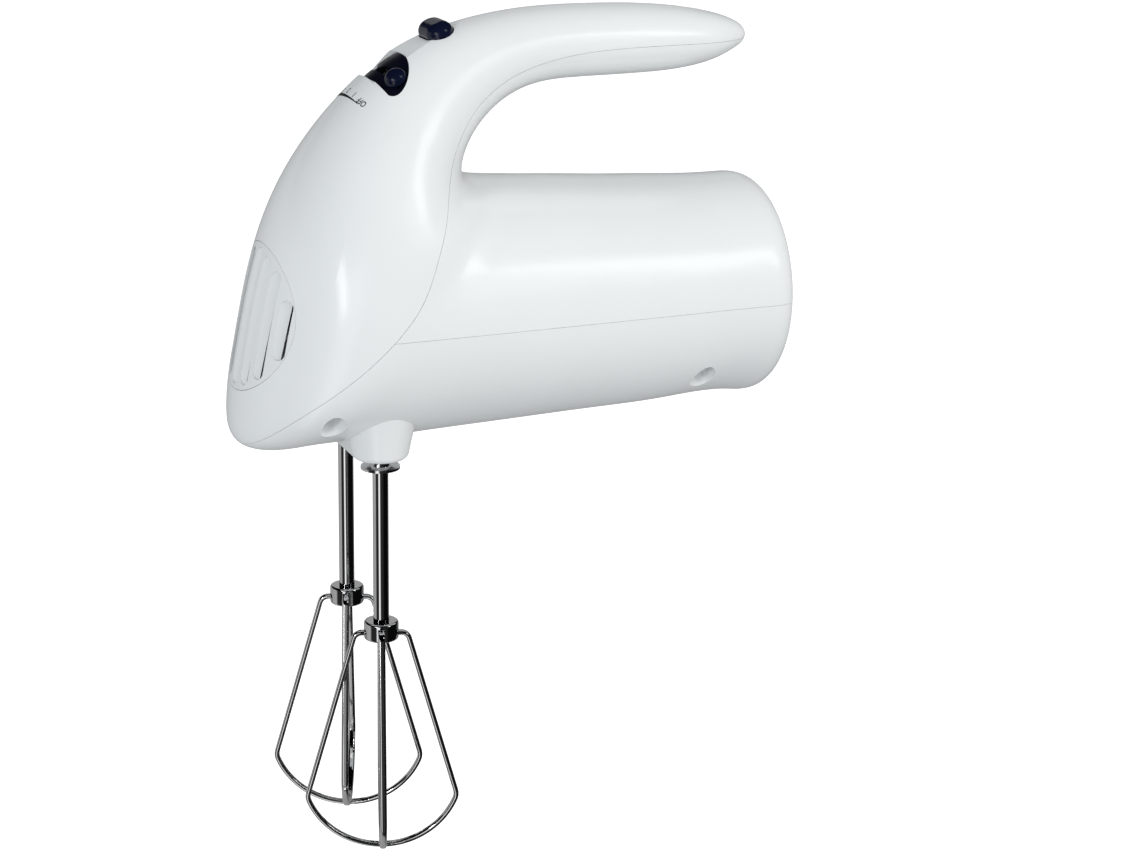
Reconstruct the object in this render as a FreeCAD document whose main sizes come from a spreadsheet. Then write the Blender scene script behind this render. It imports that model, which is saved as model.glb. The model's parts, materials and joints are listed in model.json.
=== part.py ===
import FreeCAD, Part
import math
import os

import Sketcher
from FreeCAD import Matrix, Placement, Rotation, Vector

# Hand mixer, in millimetres.  The working frame has +X towards the rear of the
# barrel, +Z up and y = 0 as the plane of symmetry.  x = 0 is the plane of the two
# beater axes and z = 0 the level of the motor axis.  Every finished piece is then
# moved so that the origin of the row is the centre of the handle's grip.

doc = FreeCAD.newDocument("HandMixer")
sheet = doc.addObject("Spreadsheet::Sheet", "Dims")

DIMENSIONS = (
    ("grip_x", 88.0, "grip centre, behind the beater axes"),
    ("grip_z", 88.6, "grip centre, above the motor axis"),
    ("wall", 2.3, "thickness of the moulded shells"),
    ("seam_gap", 0.10, "gap between two shells"),
    ("heel_radius", 38.9, "radius of the barrel at its rear end"),
    ("heel_start", 140.0, "where the rear edge starts to round"),
    ("heel_round", 6.5, "radius of the rear edge"),
    ("spindle_half", 19.0, "half the distance between the beater axes"),
    ("port_bottom", -46.2, "lower face of the beater ports"),
    ("port_radius", 9.3, "radius of a port at its lower face"),
    ("port_root_radius", 14.5, "radius of a port where it leaves the barrel"),
    ("port_root", -22.0, "level of that root"),
    ("port_bore", 5.7, "radius of the hole in a port"),
    ("port_edge", 2.4, "rounding of the ports' lower edge"),
    ("well_radius", 4.3, "radius of the screw wells"),
    ("front_well_x", -20.3, "front screw wells"),
    ("front_well_y", 31.5, "front screw wells, half spacing"),
    ("front_well_top", -21.0, "ceiling of the front wells"),
    ("front_post_top", -16.0, "where the front posts meet"),
    ("rear_well_x", 115.3, "rear screw wells"),
    ("rear_well_y", 28.5, "rear screw wells, half spacing"),
    ("rear_well_top", -18.0, "ceiling of the rear wells"),
    ("post_radius", 6.2, "radius of a screw post"),
    ("panel_x", 2.1, "lower edge of the control panel on the crown"),
    ("panel_z", 79.0, "lower edge of the control panel on the crown"),
    ("panel_tilt", 30.2, "slope of the control panel, degrees"),
    ("selector_u", 6.4, "middle of the selector, up the panel"),
    ("selector_axis", 25.8, "depth of the selector's axis under the crown"),
    ("selector_rest", -26.5, "angle of the thumb piece at OFF, degrees"),
    ("button_x", 27.2, "middle of the eject button"),
    ("button_z", 92.6, "middle of the eject button"),
    ("button_tilt", 22.3, "slope of the crown at the button, degrees"),
    ("button_length", 16.4, "length of the button across the handle"),
    ("button_width", 9.4, "width of the button"),
    ("button_stand", 5.2, "how far the button stands out"),
    ("button_round", 3.7, "rounding of the button's top"),
    ("button_depth", 8.0, "depth of the button inside the hood"),
    ("vent_half_width", 28.0, "half width of the vent insert"),
    ("vent_half_height", 24.3, "half height of the vent insert"),
    ("vent_z", 2.0, "middle of the vent insert"),
    ("slot_pitch", 7.8, "spacing of the vent slots"),
    ("slot_half_width", 2.7, "half width of a slot with its cheek"),
    ("slot_gap", 1.5, "open width of a slot, beside its cheek"),
    ("slot_margin", 1.3, "from the ends of a slot to the rim of the insert"),
    ("cheek_slope", 18.0, "slope of a cheek, degrees"),
    ("shaft_radius", 3.0, "motor shaft"),
    ("shaft_front", -21.0, "front end of the motor shaft"),
    ("shaft_rear", 124.0, "rear end of the motor shaft"),
    ("worm_front", -11.0, "front end of the worm"),
    ("worm_length", 22.0, "length of the worm"),
    ("gear_module", 1.0, "module of the worm gear"),
    ("wheel_teeth", 29, "teeth of a worm wheel"),
    ("worm_starts", 2, "threads of the worm"),
    ("wheel_face", 7.0, "face width of a worm wheel"),
    ("spindle_radius", 5.2, "outside of a spindle sleeve"),
    ("spindle_bore", 2.8, "bore of a spindle sleeve"),
    ("spindle_top", 10.0, "top of a spindle sleeve"),
    ("spindle_bottom", -45.0, "bottom of a spindle sleeve"),
    ("stack_front", 60.0, "front of the stator stack"),
    ("stack_length", 26.0, "length of the stator stack"),
    ("stack_half_width", 27.0, "half width of the stator stack"),
    ("stack_half_height", 24.0, "half height of the stator stack"),
    ("stator_bore", 15.3, "bore of the stator"),
    ("rotor_radius", 14.7, "radius of the armature"),
    ("commutator_radius", 10.5, "radius of the commutator"),
    ("commutator_front", 96.0, "front of the commutator"),
    ("fan_radius", 27.0, "radius of the cooling fan"),
    ("fan_front", 30.0, "front face of the fan"),
    ("shank_radius", 2.72, "radius of a beater shank"),
    ("shank_top", 8.1, "top of a beater shank"),
    ("hub_level", -108.1, "middle of a beater hub"),
    ("hub_radius", 6.0, "radius of a beater hub"),
    ("hub_height", 6.6, "height of a beater hub"),
    ("whisk_radius", 26.2, "half width of a whisk loop, to the middle of the strip"),
    ("whisk_wide_level", -170.5, "level of the widest point of a loop"),
    ("whisk_bottom", -189.2, "bottom of the lower loop, to the middle of the strip"),
    ("strip_thickness", 1.8, "thickness of the loop strip"),
    ("strip_width", 2.5, "width of the loop strip"),
    ("strip_edge", 0.85, "rounding of the strip's long edges"),
    ("whisk_phase_left", 72.2, "angle of the left beater's first loop, from +X, degrees"),
    ("whisk_phase_right", 69.0, "angle of the right beater's first loop, from +X, degrees"),
    ("collar_radius", 6.7, "radius of the collar on the left beater"),
    ("collar_level", -49.9, "underside of that collar"),
    ("gland_bore", 3.4, "radius of the hole for the cord"),
    ("gland_length", 12.0, "length of the cord bush"),
)

# Cross-sections of the body, each an ellipse that spans from a point on the outer
# profile to a point on the inner profile.  They start at the tip of the handle, run
# forward over the grip, fan down the neck and the nose and then run back along
# the barrel: outer x, outer z, inner x, inner z, half width.
SECTIONS = (
    (140.6, 89.2, 140.6, 88.2, 0.8),
    (139.4, 91.4, 139.3, 86.0, 4.0),
    (135.5, 94.0, 135.0, 83.2, 7.4),
    (127.0, 96.8, 127.0, 80.0, 10.9),
    (114.0, 99.2, 114.0, 77.6, 13.2),
    (98.0, 100.7, 98.0, 76.8, 14.5),
    (80.0, 101.2, 80.0, 76.6, 15.2),
    (62.0, 100.9, 66.0, 76.0, 15.8),
    (44.0, 98.8, 55.0, 73.4, 17.0),
    (26.6, 94.4, 46.2, 68.4, 19.2),
    (9.6, 86.2, 39.6, 62.0, 22.6),
    (-5.6, 73.3, 35.4, 55.8, 27.2),
    (-18.6, 57.4, 33.4, 51.0, 32.8),
    (-30.0, 37.2, 33.6, 47.6, 38.0),
    (-38.0, 13.5, 36.2, 45.6, 41.8),
    (-43.2, -11.0, 40.6, 44.6, 44.0),
    (-46.4, -33.0, 45.0, 44.2, 44.5),
    (-45.0, -40.6, 48.0, 44.0, 44.5),
    (-39.0, -43.4, 51.0, 43.8, 44.4),
    (-26.0, -43.4, 54.0, 43.6, 44.2),
    (-8.0, -43.0, 58.0, 43.3, 43.9),
    (16.0, -42.2, 65.0, 42.9, 43.3),
    (44.0, -41.3, 76.0, 42.2, 42.5),
    (76.0, -40.3, 91.0, 41.2, 41.5),
    (106.0, -39.3, 108.0, 40.3, 40.4),
    (134.0, -38.6, 134.0, 39.4, 39.4),
)

# The seam between the hood and the other two shells, seen from the side: x, z.
SEAM = (
    (150.0, 88.2),
    (118.0, 87.6),
    (87.0, 87.5),
    (66.0, 85.5),
    (46.0, 79.0),
    (34.5, 70.7),
    (26.7, 60.0),
    (21.2, 48.6),
    (17.4, 37.3),
    (13.0, 26.7),
    (7.3, 13.6),
    (-3.4, 0.0),
    (-17.7, -13.4),
    (-34.6, -28.4),
    (-46.0, -42.0),
    (-52.0, -50.0),
)

# Half of the selector opening in the plane of the panel: up the panel, across it.
SELECTOR_OUTLINE = (
    (0.6, 16.4),
    (2.4, 18.0),
    (5.5, 17.8),
    (9.5, 15.5),
    (12.6, 11.7),
    (14.2, 6.7),
    (14.6, 0.0),
)

# Posts that stand on the floor of the base shell: x, y, foot, top.
GEAR_POSTS = (
    (20.0, -22.0, -35.4, -12.0),
    (20.0, 22.0, -35.4, -12.0),
    (-10.0, 0.0, -42.0, -12.0),
)
CLAMP_POSTS = (
    (130.0, -9.0, -37.0, -22.0),
    (130.0, 9.0, -37.0, -22.0),
)

REACH = 70.0
SIDES = ((-1, "left"), (1, "right"))


def fill_sheet():
    for row, (alias, value, note) in enumerate(DIMENSIONS, start=1):
        sheet.set(f"A{row}", note)
        sheet.set(f"B{row}", str(value))
        sheet.setAlias(f"B{row}", alias)
    for row, section in enumerate(SECTIONS, start=1):
        for column, value in zip("DEFGH", section):
            sheet.set(f"{column}{row}", str(value))
    for row, point in enumerate(SEAM, start=1):
        for column, value in zip("JK", point):
            sheet.set(f"{column}{row}", str(value))


fill_sheet()
doc.recompute()


def dim(alias):
    """A size from the sheet."""
    return float(sheet.get(alias))


def sections():
    """The body's cross-sections, from the sheet."""
    rows = range(1, len(SECTIONS) + 1)
    return [[float(sheet.get(f"{column}{row}")) for column in "DEFGH"] for row in rows]


def seam_points():
    rows = range(1, len(SEAM) + 1)
    return [(float(sheet.get(f"J{row}")), float(sheet.get(f"K{row}"))) for row in rows]


# ---------------------------------------------------------------- building tools

NODES = []


def to_row_frame(node):
    """Move a finished piece so that the grip centre is the origin."""
    bound = dict(node.ExpressionEngine)
    for axis, drop in (("x", "Dims.grip_x"), ("z", "Dims.grip_z")):
        prop = f"Placement.Base.{axis}"
        place = bound.get(prop) or bound.get("." + prop) or getattr(node.Placement.Base, axis)
        node.setExpression(prop, f"{place} - {drop}")
    return node


def finish(node, label):
    node.Label = label
    NODES.append(node)
    return to_row_frame(node)


def bind(thing, **sizes):
    for prop, size in sizes.items():
        thing.setExpression(prop, str(size))
    return thing


def put(thing, place, rotation=None):
    """Place an object; the coordinates are numbers or expressions."""
    if rotation:
        thing.Placement = Placement(Vector(), rotation)
    for axis, value in zip("xyz", place):
        thing.setExpression(f"Placement.Base.{axis}", str(value))
    return thing


def box(low, high, rotation=None):
    """A block between two corners, each coordinate a number or an expression."""
    block = doc.addObject("Part::Box", "Block")
    sizes = [f"({top}) - ({bottom})" for bottom, top in zip(low, high)]
    bind(block, Length=sizes[0], Width=sizes[1], Height=sizes[2])
    return put(block, low, rotation)


ALONG = {
    "z": Rotation(),
    "x": Rotation(Vector(0, 1, 0), 90),
    "y": Rotation(Vector(1, 0, 0), -90),
}


def cylinder(radius, height, start, axis="z"):
    drum = doc.addObject("Part::Cylinder", "Drum")
    bind(drum, Radius=radius, Height=height)
    return put(drum, start, ALONG[axis])


def fuse(*shapes):
    joined = doc.addObject("Part::MultiFuse", "Joined")
    joined.Shapes = list(shapes)
    return joined


def cut(base, *tools):
    pierced = doc.addObject("Part::Cut", "Pierced")
    pierced.Base = base
    pierced.Tool = tools[0] if len(tools) == 1 else fuse(*tools)
    return pierced


def group(*shapes):
    """Identical loose pieces kept together in one node."""
    together = doc.addObject("Part::Compound", "Together")
    together.Links = list(shapes)
    return together


def feature(shape, label):
    """A free-form piece, whose shape is worked out from the sheet."""
    node = doc.addObject("Part::Feature", "Moulded")
    node.Shape = shape
    node.Placement = shape.Placement
    return finish(node, label)


def origin_plane(body, role):
    return next(item for item in body.Origin.OriginFeatures if item.Role == role)


def outline(body, role, points):
    """A closed sketch through points whose coordinates are expressions."""
    sketch = body.newObject("Sketcher::SketchObject", "Outline")
    sketch.AttachmentSupport = [(origin_plane(body, role), "")]
    sketch.MapMode = "FlatFace"
    values = [[float(sheet_value(item)) for item in point] for point in points]
    count = len(points)
    for index, (start, end) in enumerate(zip(values, values[1:] + values[:1])):
        line = Part.LineSegment(Vector(*start, 0), Vector(*end, 0))
        sketch.addGeometry(line, False)
    for index in range(count):
        follower = (index + 1) % count
        sketch.addConstraint(Sketcher.Constraint("Coincident", index, 2, follower, 1))
    for index, point in enumerate(points):
        for kind, item, value in zip(("DistanceX", "DistanceY"), point, values[index]):
            if value == 0:
                across = -2 if kind == "DistanceX" else -1
                sketch.addConstraint(Sketcher.Constraint("PointOnObject", index, 1, across))
                continue
            number = sketch.addConstraint(Sketcher.Constraint(kind, -1, 1, index, 1, value))
            sketch.setExpression(f"Constraints[{number}]", str(item))
    return sketch


def sheet_value(item):
    """The present value of an expression made of sheet aliases and numbers."""
    if not isinstance(item, str):
        return item
    total = 0.0
    for term in item.replace("- ", "+ -").split("+ "):
        sign = -1.0 if term.startswith("-") else 1.0
        term = term.strip().lstrip("-")
        total += sign * (dim(term[5:]) if term.startswith("Dims.") else float(term))
    return total


def turned(points, label, place=(0, 0, 0), rotation=None):
    """A turned piece: (radius, height) points revolved about its own z axis."""
    body = doc.addObject("PartDesign::Body", "Turned")
    sketch = outline(body, "XZ_Plane", points)
    revolution = body.newObject("PartDesign::Revolution", "Revolution")
    revolution.Profile = sketch
    revolution.ReferenceAxis = (sketch, ["V_Axis"])
    revolution.Angle = 360
    body.Placement = Placement(Vector(*place), rotation or Rotation())
    return finish(body, label) if label else body


# ---------------------------------------------------------------- body surfaces


def ellipse_poles(section, inset, count):
    """Control points of a cross-section drawn in by inset."""
    outer_x, outer_z, inner_x, inner_z, half_width = section
    outer = Vector(outer_x, 0, outer_z)
    inner = Vector(inner_x, 0, inner_z)
    middle = (outer + inner) * 0.5
    half = (outer - inner) * 0.5
    reach = half.Length - inset
    direction = half.normalize()
    across = half_width - inset
    swell = 6.0 / (4.0 + 2.0 * math.cos(2 * math.pi / count))
    poles = []
    for index in range(count):
        angle = 2 * math.pi * index / count
        step = direction * (reach * swell * math.cos(angle))
        poles.append(middle + step + Vector(0, across * swell * math.sin(angle), 0))
    return poles


def heel_sections(inset):
    """The rounded rear edge of the barrel."""
    radius = dim("heel_radius")
    rounding = dim("heel_round")
    rows = []
    for degrees in (25, 50, 70, 88):
        angle = math.radians(degrees)
        size = radius - rounding * (1 - math.cos(angle))
        x = dim("heel_start") + (rounding - inset) * math.sin(angle)
        rows.append((x, -size, x, size, size))
    return rows


def skin(inset, first=0):
    """The body's surface drawn in by inset, closed into a solid."""
    count = 20
    rows = sections()[first:] + heel_sections(inset)
    rings = [ellipse_poles(row, inset, count) for row in rows]
    stations = [0.0]
    for before, after in zip(rows, rows[1:]):
        outer_step = math.hypot(after[0] - before[0], after[1] - before[1])
        inner_step = math.hypot(after[2] - before[2], after[3] - before[3])
        stations.append(stations[-1] + 0.75 * outer_step + 0.25 * inner_step)
    lines = []
    for index in range(count):
        line = Part.BSplineCurve()
        line.interpolate(Points=[ring[index] for ring in rings], Parameters=stations)
        lines.append(line)
    along = lines[0]
    surface = Part.BSplineSurface()
    surface.buildFromPolesMultsKnots(
        [line.getPoles() for line in lines],
        [1] * (count + 1),
        along.getMultiplicities(),
        [float(index) for index in range(count + 1)],
        along.getKnots(),
        True,
        False,
        3,
        along.Degree,
    )
    ends = (along.getKnots()[0], along.getKnots()[-1])
    caps = [Part.Face(Part.Wire([surface.vIso(end).toShape()])) for end in ends]
    closed = Part.Shell([surface.toShape()] + caps)
    closed.sewShape()
    solid = Part.Solid(Part.Shell(closed.Faces))
    if solid.Volume < 0:
        solid.reverse()
    return solid


def hood_region(shift):
    """All that lies in front of and above the seam, moved to the rear by shift."""
    points = [Vector(x + shift, -REACH, z - shift) for x, z in seam_points()]
    curve = Part.BSplineCurve()
    curve.interpolate(points)
    corners = [
        points[-1],
        Vector(-REACH - 10, -REACH, points[-1].z),
        Vector(-REACH - 10, -REACH, 2 * REACH),
        Vector(points[0].x, -REACH, 2 * REACH),
        points[0],
    ]
    edges = [Part.LineSegment(a, b).toShape() for a, b in zip(corners, corners[1:])]
    return Part.Face(Part.Wire([curve.toShape()] + edges)).extrude(Vector(0, 2 * REACH, 0))


def rod(x, y, bottom, top, radius):
    return Part.makeCylinder(radius, top - bottom, Vector(x, y, bottom))


def block(low, high):
    return Part.makeBox(high[0] - low[0], high[1] - low[1], high[2] - low[2], Vector(*low))


PANEL = Placement(
    Vector(dim("panel_x"), 0, dim("panel_z")),
    Rotation(Vector(0, 1, 0), -dim("panel_tilt")),
)
BUTTON = Placement(
    Vector(dim("button_x"), 0, dim("button_z")),
    Rotation(Vector(0, 1, 0), -dim("button_tilt")),
)


def placed(shape, placement):
    shape.Placement = placement.multiply(shape.Placement)
    return shape


def selector_prism(inset, bottom, top):
    """The outline of the selector opening, drawn in by inset, as a tall prism."""
    half = [(u, y - inset) for u, y in SELECTOR_OUTLINE[:4]]
    half += [(u - inset, y) for u, y in SELECTOR_OUTLINE[4:]]
    half[0] = (half[0][0] + inset, half[0][1])
    points = [Vector(u, y, bottom) for u, y in half]
    points += [Vector(u, -y, bottom) for u, y in reversed(half[:-1])]
    curve = Part.BSplineCurve()
    curve.interpolate(points)
    closing = Part.LineSegment(points[-1], points[0]).toShape()
    face = Part.Face(Part.Wire([curve.toShape(), closing]))
    return placed(face.extrude(Vector(0, 0, top - bottom)), PANEL)


def button_prism(gap, bottom, top):
    """The pill outline of the eject button, grown by gap."""
    radius = dim("button_width") / 2 + gap
    middle = dim("button_length") / 2 - dim("button_width") / 2
    pill = block((-radius, -middle, bottom), (radius, middle, top))
    for y in (-middle, middle):
        pill = pill.fuse(rod(0, y, bottom, top, radius))
    return placed(pill.removeSplitter(), BUTTON)


def panel_cut():
    """The space above the flattened control panel, which runs under the button."""
    points = [Vector(2.0, -REACH, 79.0), Vector(17.5, -REACH, 89.3), Vector(35.0, -REACH, 96.9)]
    arc = Part.Arc(*points).toShape()
    top = Vector(20.0, -REACH, 130.0)
    lip = Vector(0.6, -REACH, 83.0)
    corners = [points[2], top, lip, points[0]]
    edges = [Part.LineSegment(a, b).toShape() for a, b in zip(corners, corners[1:])]
    return Part.Face(Part.Wire([arc] + edges)).extrude(Vector(0, 2 * REACH, 0))


def vent_prism(gap, front=-60.0, rear=-22.0):
    """The oval of the vent insert, as a prism along x."""
    oval = Part.Ellipse(Vector(), dim("vent_half_width") + gap, dim("vent_half_height") + gap)
    face = Part.Face(Part.Wire([oval.toShape()]))
    prism = face.extrude(Vector(0, 0, rear - front))
    prism.Placement = Placement(Vector(front, 0, dim("vent_z")), upright_turn())
    return prism


def upright_turn():
    """Turns a flat figure's x axis to y, its y axis to z and its normal to x."""
    matrix = Matrix(0, 0, 1, 0, 1, 0, 0, 0, 0, 1, 0, 0, 0, 0, 0, 1)
    return Placement(matrix).Rotation


def wells():
    """Screw wells: x, y, ceiling and the level where the two posts meet."""
    gap = dim("seam_gap") / 2
    found = []
    for side in (-1, 1):
        front_y = side * dim("front_well_y")
        rear_y = side * dim("rear_well_y")
        front = (dim("front_well_x"), front_y, dim("front_well_top"), dim("front_post_top"))
        rear = (dim("rear_well_x"), rear_y, dim("rear_well_top"), -gap)
        found.append(("front",) + front)
        found.append(("rear",) + rear)
    return found


def post_above(outer, x, y, bottom, top):
    """A screw post that hangs from the roof, with its pilot hole."""
    post = rod(x, y, bottom, top, dim("post_radius") - 2.0).common(outer)
    return post, rod(x, y, bottom - 1, bottom + 16, 1.5)


def port_boss():
    """Both beater ports in one tapered block with a rounded lower edge."""
    half = dim("spindle_half")
    rings = []
    for level, radius in (("port_bottom", "port_radius"), ("port_root", "port_root_radius")):
        z = dim(level)
        r = dim(radius)
        corners = [Vector(x, y, z) for x, y in ((-r, -half), (r, -half), (r, half), (-r, half))]
        ends = [Vector(0, -half - r, z), Vector(0, half + r, z)]
        edges = [
            Part.Arc(corners[0], ends[0], corners[1]).toShape(),
            Part.LineSegment(corners[1], corners[2]).toShape(),
            Part.Arc(corners[2], ends[1], corners[3]).toShape(),
            Part.LineSegment(corners[3], corners[0]).toShape(),
        ]
        rings.append(Part.Wire(edges))
    boss = Part.makeLoft(rings, True, True)
    bottom = min(boss.Faces, key=lambda face: face.CenterOfMass.z)
    return boss.makeFillet(dim("port_edge"), bottom.Edges)


def shells():
    """The three shells and the vent insert."""
    outer = skin(0.0)
    inner = skin(dim("wall"), 2)
    wall = outer.cut(inner)
    gap = dim("seam_gap")
    hood = wall.common(hood_region(0.0))
    rest = wall.cut(hood_region(gap))
    upper = rest.common(block((-REACH, -REACH, gap / 2), (200, REACH, 200)))
    lower = rest.common(block((-REACH, -REACH, -200), (200, REACH, -gap / 2)))

    hood = hood.cut(panel_cut())
    hood = hood.cut(selector_prism(0.0, -14, 9))
    hood = hood.cut(button_prism(0.35, -12, 9))
    hood = hood.cut(vent_prism(0.16))

    pocket = Part.makeCylinder(6.35, 12, Vector(140, 0, 0), Vector(1, 0, 0))
    upper = upper.cut(pocket)
    lower = lower.cut(pocket)

    shelf = block((21, -10, 70), (60, 10, 72)).common(inner)
    shelf = shelf.cut(hood_region(gap)).cut(block((23.4, -5.2, 69), (32.2, 5.2, 73)))
    upper = upper.fuse(shelf)
    board_posts = [rod(x, 0, 27.7, 45, 3.2).common(outer) for x in (99, 121)]
    upper = upper.fuse(board_posts)

    lower = lower.fuse(port_boss().cut(inner))
    half = dim("spindle_half")
    for side in (-1, 1):
        y = side * half
        lower = lower.fuse(rod(0, y, -42, -26, dim("port_bore") + 2.2))
        lower = lower.cut(rod(0, y, -60, -20, dim("port_bore")))

    pilot_holes = {"hood": [], "upper": []}
    for end, x, y, ceiling, meet in wells():
        top = 0 if end == "front" else meet
        post = rod(x, y, ceiling - 22, top, dim("post_radius")).common(outer)
        lower = lower.fuse(post)
        lower = lower.cut(rod(x, y, -80, ceiling, dim("well_radius")))
        lower = lower.cut(rod(x, y, ceiling - 1, meet + 8, 2.0))
        if end == "front":
            above, pilot = post_above(outer, x, y, ceiling + 2, meet + 60)
            hood = hood.fuse(above.common(hood_region(0.0)))
            pilot_holes["hood"].append(pilot)
        else:
            above, pilot = post_above(outer, x, y, meet + gap, meet + 60)
            upper = upper.fuse(above)
            pilot_holes["upper"].append(pilot)
    lower = lower.cut(hood_region(gap))
    hood = hood.cut(Part.makeCompound(pilot_holes["hood"]))
    upper = upper.cut(Part.makeCompound(pilot_holes["upper"]))

    for x, y, foot, top in GEAR_POSTS + CLAMP_POSTS:
        lower = lower.fuse(rod(x, y, foot, top, 3.3).common(outer))
        lower = lower.cut(rod(x, y, top - 12, top + 1, 1.5))

    grille = vent_grille(outer)
    return hood, upper, lower, grille


def vent_grille(outer):
    """The oval insert with seven upright slots, each with a sloped inner cheek."""
    insert = outer.cut(skin(1.6, 2)).common(vent_prism(0.0))
    a = dim("vent_half_width")
    b = dim("vent_half_height")
    reach = dim("slot_half_width")
    open_half = dim("slot_gap") / 2
    gaps = []
    cheeks = []
    for index in range(-3, 4):
        y = index * dim("slot_pitch")
        rim = b * math.sqrt(1 - ((abs(y) + 1.4) / a) ** 2)
        half = rim - dim("slot_margin") - reach
        outboard = 1 if index > 0 else -1
        gaps.append(slot_prism(y + outboard * (reach - open_half - 0.1), open_half, half))
        hinge = Vector(nose_x(outer, y - outboard * reach), y - outboard * reach, dim("vent_z"))
        floor = outer.copy()
        floor.rotate(hinge, Vector(0.25, 0, 1), -outboard * dim("cheek_slope"))
        cheeks.append(slot_prism(y, reach, half).cut(floor))
    return insert.cut(Part.makeCompound(gaps)).cut(Part.makeCompound(cheeks))


def slot_prism(y, radius, half):
    """An upright slot with round ends, as a prism along x through the nose."""
    z = dim("vent_z")
    slot = block((-60, y - radius, z - half), (-20, y + radius, z + half))
    for level in (z - half, z + half):
        end = Part.makeCylinder(radius, 40, Vector(-60, y, level), Vector(1, 0, 0))
        slot = slot.fuse(end)
    return slot


def nose_x(outer, y):
    """Where a line along x at the middle of the vent meets the nose."""
    start = Vector(-80, y, dim("vent_z"))
    line = Part.makeLine(start, Vector(0, y, dim("vent_z")))
    return min(vertex.X for vertex in outer.common(line).Vertexes)


def selector_bezel():
    """The dark liner of the selector opening, with the slot for the thumb piece."""
    liner = skin(1.6, 2).cut(skin(3.4, 2)).common(selector_prism(0.25, -14, 9))
    middle = dim("selector_u")
    slot = placed(block((middle - 1.7, -14.9, -16), (middle + 1.7, 14.0, 9)), PANEL)
    return liner.cut(slot)


def on_selector_axis():
    """Frame of the selector: x along its axis, turned to the OFF position."""
    middle = Vector(dim("selector_u"), 0, -dim("selector_axis"))
    turn = Rotation(Vector(1, 0, 0), -dim("selector_rest"))
    return PANEL.multiply(Placement(middle, turn))


def selector_slider():
    """Thumb piece, stem, shoe, arm and hub in one moulding."""
    nub = Part.makeSphere(1.0, Vector(), Vector(0, 0, 1))
    scale = Matrix()
    scale.scale(3.9, 3.6, 3.5)
    nub = nub.transformGeometry(scale)
    nub.translate(Vector(0, 0, 27.0))
    nub = nub.common(block((-9, -9, 27.0), (9, 9, 40)))
    stem = block((-1.4, -1.6, 20), (1.4, 1.6, 27.8))
    shoe = block((-4.5, -4, 20.8), (4.5, 4, 23.2))
    arm = block((-1.4, -2, 2.5), (1.4, 2, 21.0))
    hub = Part.makeCylinder(3.6, 3.0, Vector(-1.5, 0, 0), Vector(1, 0, 0))
    bore = Part.makeCylinder(1.65, 5.0, Vector(-2.5, 0, 0), Vector(1, 0, 0))
    slider = nub.fuse([stem, shoe, arm, hub]).cut(bore)
    return placed(slider, on_selector_axis())


def eject_button():
    """Pill with a rounded top edge."""
    pill = button_prism(0.0, -dim("button_depth"), dim("button_stand"))
    normal = BUTTON.Rotation.multVec(Vector(0, 0, 1))
    top = max(pill.Faces, key=lambda face: face.CenterOfMass.dot(normal))
    return pill.makeFillet(dim("button_round"), top.Edges)


def eject_rod():
    """Push rod: a column under the button, a foot and a bar over both spindles."""
    column = block((25.6, -4, 17.3), (28.4, 4, 95))
    foot = block((-4, -4, 17.3), (28.4, 4, 20.5))
    bar = block((-4, -23.5, 17.3), (4, 23.5, 20.5))
    above = placed(block((-30, -30, -dim("button_depth")), (30, 30, 40)), BUTTON)
    return column.fuse([foot, bar]).removeSplitter().cut(above)


def coil_spring(radius, wire, pitch, height, place):
    """A round wire along a helix about z."""
    helix = Part.makeHelix(pitch, height - 2 * wire, radius)
    start = Vector(radius, 0, 0)
    section = Part.Wire([Part.makeCircle(wire, start, Vector(0, 1, 0))])
    coil = Part.Wire(helix.Edges).makePipeShell([section], True, True)
    coil.translate(Vector(*place) + Vector(0, 0, wire))
    return coil


def worm():
    """Two-start worm on the motor axis: a core with two raised threads."""
    module = dim("gear_module")
    pitch_radius = dim("spindle_half") - module * dim("wheel_teeth") / 2
    lead = math.pi * module * dim("worm_starts")
    root = pitch_radius - 1.15 * module
    length = dim("worm_length")
    body = Part.makeCylinder(root, length)
    for start in range(int(dim("worm_starts"))):
        helix = Part.makeHelix(lead, length - lead / 2, root)
        points = [
            Vector(root - 0.3, 0, -0.75),
            Vector(pitch_radius + 0.85, 0, -0.34),
            Vector(pitch_radius + 0.85, 0, 0.34),
            Vector(root - 0.3, 0, 0.75),
        ]
        profile = Part.Wire(Part.makePolygon(points + points[:1]).Edges)
        thread = Part.Wire(helix.Edges).makePipeShell([profile], True, True)
        thread.rotate(Vector(), Vector(0, 0, 1), 360.0 * start / dim("worm_starts"))
        thread.translate(Vector(0, 0, lead / 4))
        body = body.fuse(thread)
    body = body.cut(Part.makeCylinder(dim("shaft_radius"), length + 2, Vector(0, 0, -1)))
    body.Placement = Placement(Vector(dim("worm_front"), 0, 0), Rotation(Vector(0, 1, 0), 90))
    return body


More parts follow.
